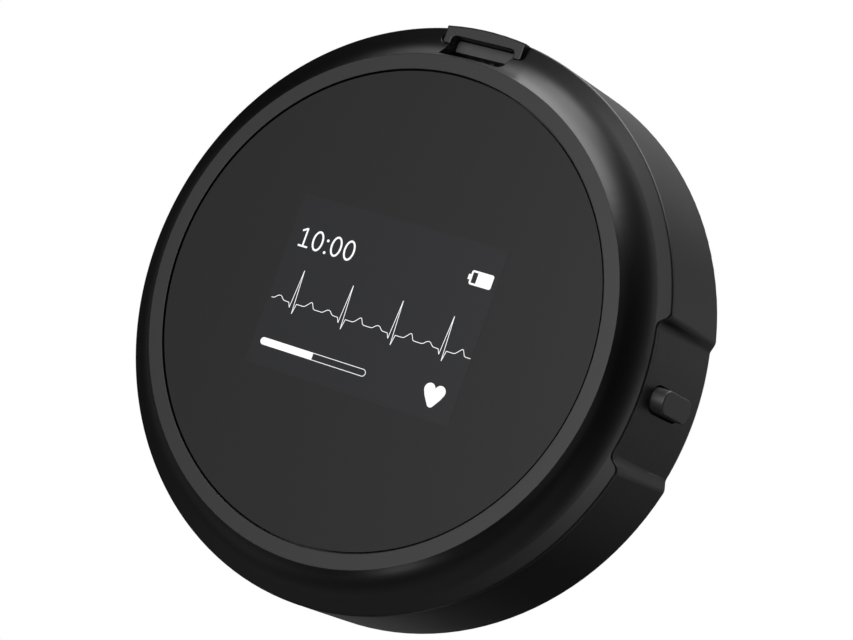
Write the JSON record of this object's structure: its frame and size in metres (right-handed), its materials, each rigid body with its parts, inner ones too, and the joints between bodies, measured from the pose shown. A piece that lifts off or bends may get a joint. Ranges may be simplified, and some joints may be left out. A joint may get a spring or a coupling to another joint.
{
  "type": "holter monitor",
  "caption": "Round pocket heart recorder with a flush glass display front, a coved rim, a recessed side push button and a lead port at the top edge.",
  "frame": {"origin": "centre of the flat back face, which the recorder lies on", "axes": "+Z from the back to the glass front, +X towards the side button, +Y towards the lead port"},
  "size_m": [0.064, 0.0638, 0.0158],
  "materials": {
    "case_black": "fine satin moulded plastic",
    "glass_black": "flat tinted cover glass",
    "adhesive_black": "thin black adhesive ring",
    "bond_clear": "clear optical bonding pad",
    "display_black": "dark display glass",
    "foam_grey": "soft closed-cell foam",
    "carrier_grey": "moulded inner plate",
    "flex_amber": "thin polyimide ribbon",
    "connector_ivory": "moulded connector body",
    "seal_grey": "soft silicone seal",
    "screw_steel": "small steel fasteners, spring and bracket",
    "insert_brass": "turned threaded inserts",
    "socket_grey": "light moulded socket",
    "contact_gold": "gold-plated contact strips",
    "button_black": "satin push button",
    "switch_black": "switch case",
    "plunger_white": "switch plunger",
    "board_green": "solder-masked circuit board",
    "chip_black": "moulded chip package",
    "crystal_steel": "metal crystal can",
    "capacitor_brown": "small ceramic parts",
    "beeper_black": "sounder can",
    "cell_silver": "foil pouch",
    "lead_red": "insulated lead",
    "lead_black": "insulated lead"
  },
  "bodies": {
    "case": {"front_cover": "case_black", "rear_housing": "case_black", "cover_glass": "glass_black", "glass_adhesive": "adhesive_black", "display_bond": "bond_clear", "display_panel": "display_black", "display_cushion": "foam_grey", "display_carrier": "carrier_grey", "display_flex": "flex_amber", "flex_connector": "connector_ivory", "case_gasket": "seal_grey", "case_screws": "screw_steel", "screw_inserts": "insert_brass", "lead_socket": "socket_grey", "lead_contacts": "contact_gold", "button_spring": "screw_steel", "button_bracket": "screw_steel", "bracket_screws": "screw_steel", "switch_case": "switch_black", "main_board": "board_green", "board_screws": "screw_steel", "processor_chip": "chip_black", "memory_chip": "chip_black", "front_end_chip": "chip_black", "clock_crystal": "crystal_steel", "board_capacitors": "capacitor_brown", "beeper": "beeper_black", "battery_cell": "cell_silver", "battery_pad": "foam_grey", "battery_plug": "connector_ivory", "battery_header": "connector_ivory", "battery_lead_plus": "lead_red", "battery_lead_minus": "lead_black"},
    "button": {"side_button": "button_black", "button_seal": "seal_grey"},
    "plunger": {"switch_plunger": "plunger_white"}
  },
  "joints": [
    {"name": "button_press", "type": "slide", "parent": "case", "child": "button", "axis": [-1, 0, 0], "range_m": [0, 0.0005], "stiffness_N_per_m": 2000, "springref_m": -0.0005, "deforming": ["button_spring"]},
    {"name": "plunger_press", "type": "slide", "parent": "case", "child": "plunger", "axis": [-1, 0, 0], "range_m": [0, 0.0005]}
  ],
  "couplings": [
    {"joint": "plunger_press", "follows": "button_press", "ratio": 1}
  ]
}
